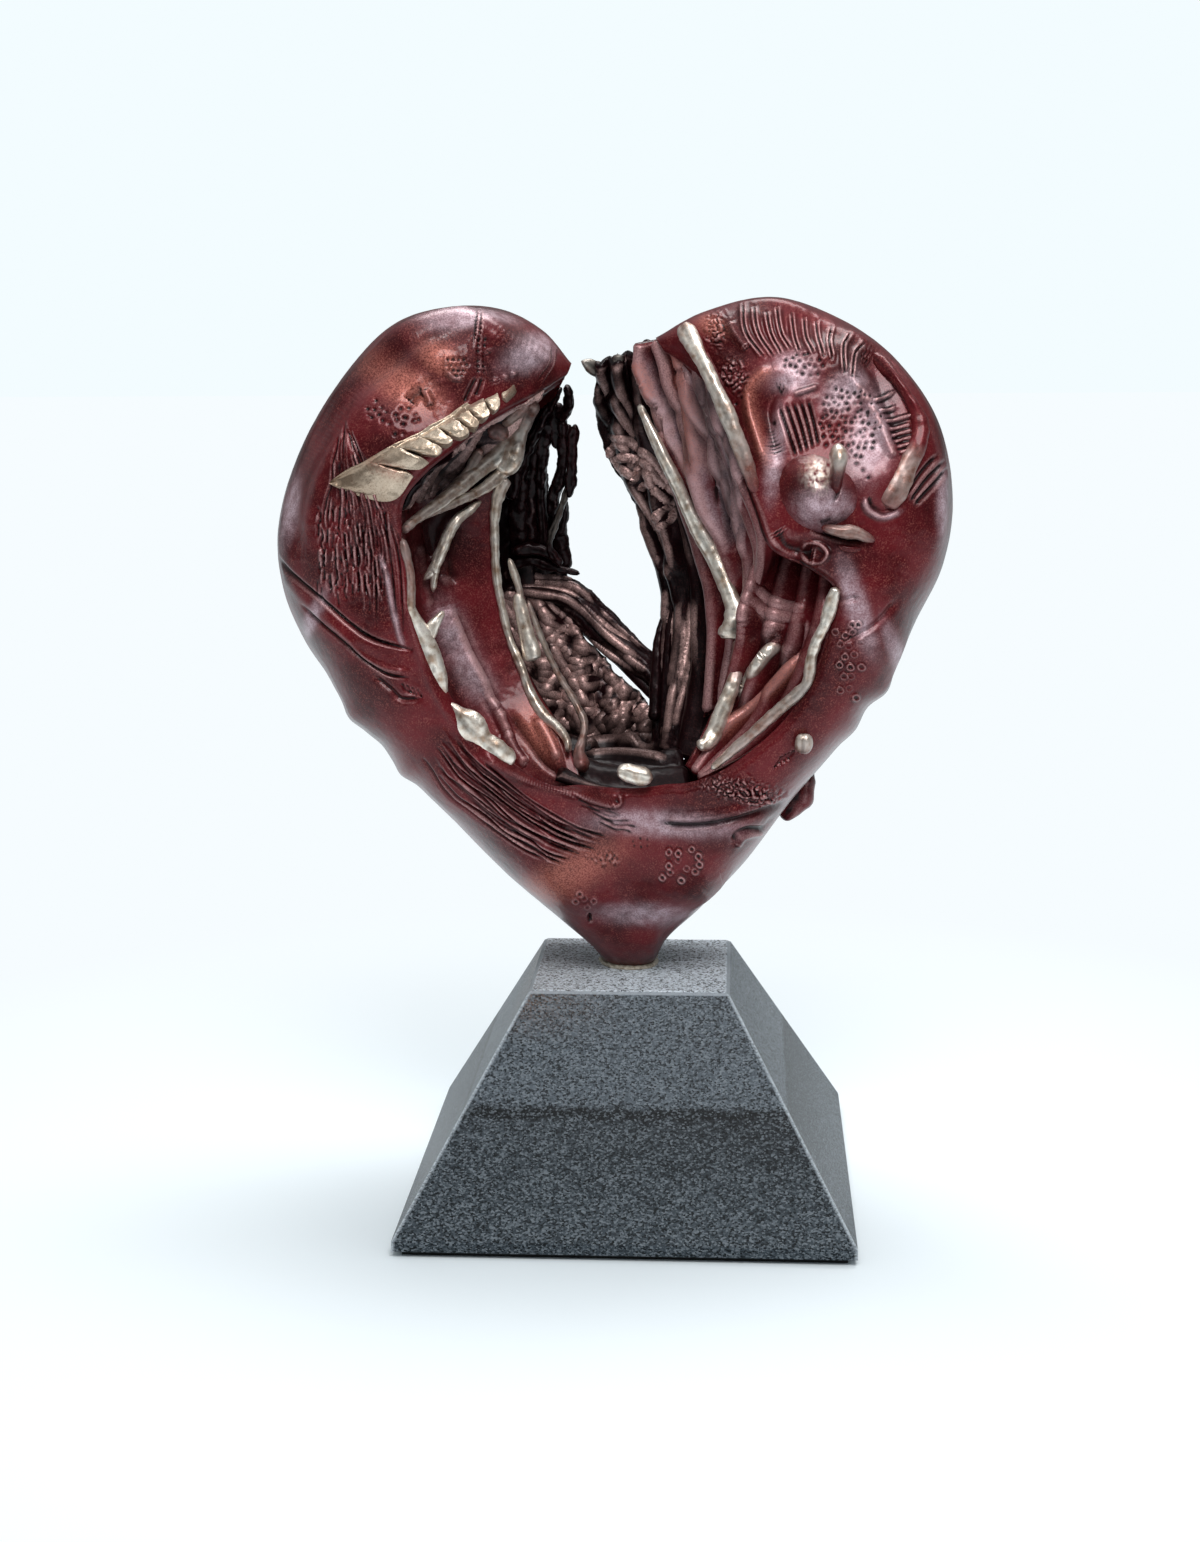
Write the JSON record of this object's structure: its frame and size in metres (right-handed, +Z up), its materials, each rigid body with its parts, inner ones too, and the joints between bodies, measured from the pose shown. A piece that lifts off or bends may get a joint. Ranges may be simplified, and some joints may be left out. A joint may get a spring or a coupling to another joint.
{
  "type": "heart sculpture on plinth",
  "caption": "Open, torn metal heart with silver tendons and dark crumpled linings, fixed by its point to a cut-off stone pyramid.",
  "frame": {"origin": "centre of the felt pad's underside, on the table", "axes": "+Z up, +X to the viewer's right, +Y to the back"},
  "size_m": [0.1545, 0.102, 0.2067],
  "materials": {
    "oxblood_bronze": "cast bronze, oxblood red patina under a clear lacquer, rubbed to copper on high spots",
    "dark_bronze": "cast bronze, dark brown patina, satin, crests rubbed lighter",
    "nickel_silver": "nickel silver, hand rubbed, brown left in the recesses",
    "black_stone": "honed black stone with fine grey speckle",
    "black_felt": "felt",
    "zinc_steel": "zinc plated",
    "clear_resin": "cured resin bead"
  },
  "bodies": {
    "root": {"left_lobe_shell": "oxblood_bronze", "apex_shell": "oxblood_bronze", "right_lobe_shell": "oxblood_bronze", "left_lining": "oxblood_bronze", "right_flutes": "oxblood_bronze", "right_lower_flutes": "oxblood_bronze", "valve_boss": "oxblood_bronze", "rim_vein": "oxblood_bronze", "boss_lip": "oxblood_bronze", "back_vessel_stub": "oxblood_bronze", "inner_fold_tendon": "oxblood_bronze", "left_recess_folds": "dark_bronze", "right_curtain": "dark_bronze", "strand_curtain": "dark_bronze", "diagonal_band": "dark_bronze", "wrinkled_wall": "dark_bronze", "floor_folds": "dark_bronze", "spike_strip": "dark_bronze", "leaf_blade": "nickel_silver", "left_rim_tendon": "nickel_silver", "forked_tendon": "nickel_silver", "slender_tendon": "nickel_silver", "inner_long_tendon": "nickel_silver", "inner_short_tendon": "nickel_silver", "front_long_tendon": "nickel_silver", "upper_long_tendon": "nickel_silver", "lower_tendon": "nickel_silver", "outer_tendon": "nickel_silver", "rim_tab": "nickel_silver", "rim_nub": "nickel_silver", "plinth": "black_stone", "felt_pad": "black_felt", "mounting_rod": "zinc_steel", "rod_nut": "zinc_steel", "rod_washer": "zinc_steel", "resin_bead": "clear_resin"}
  },
  "joints": []
}
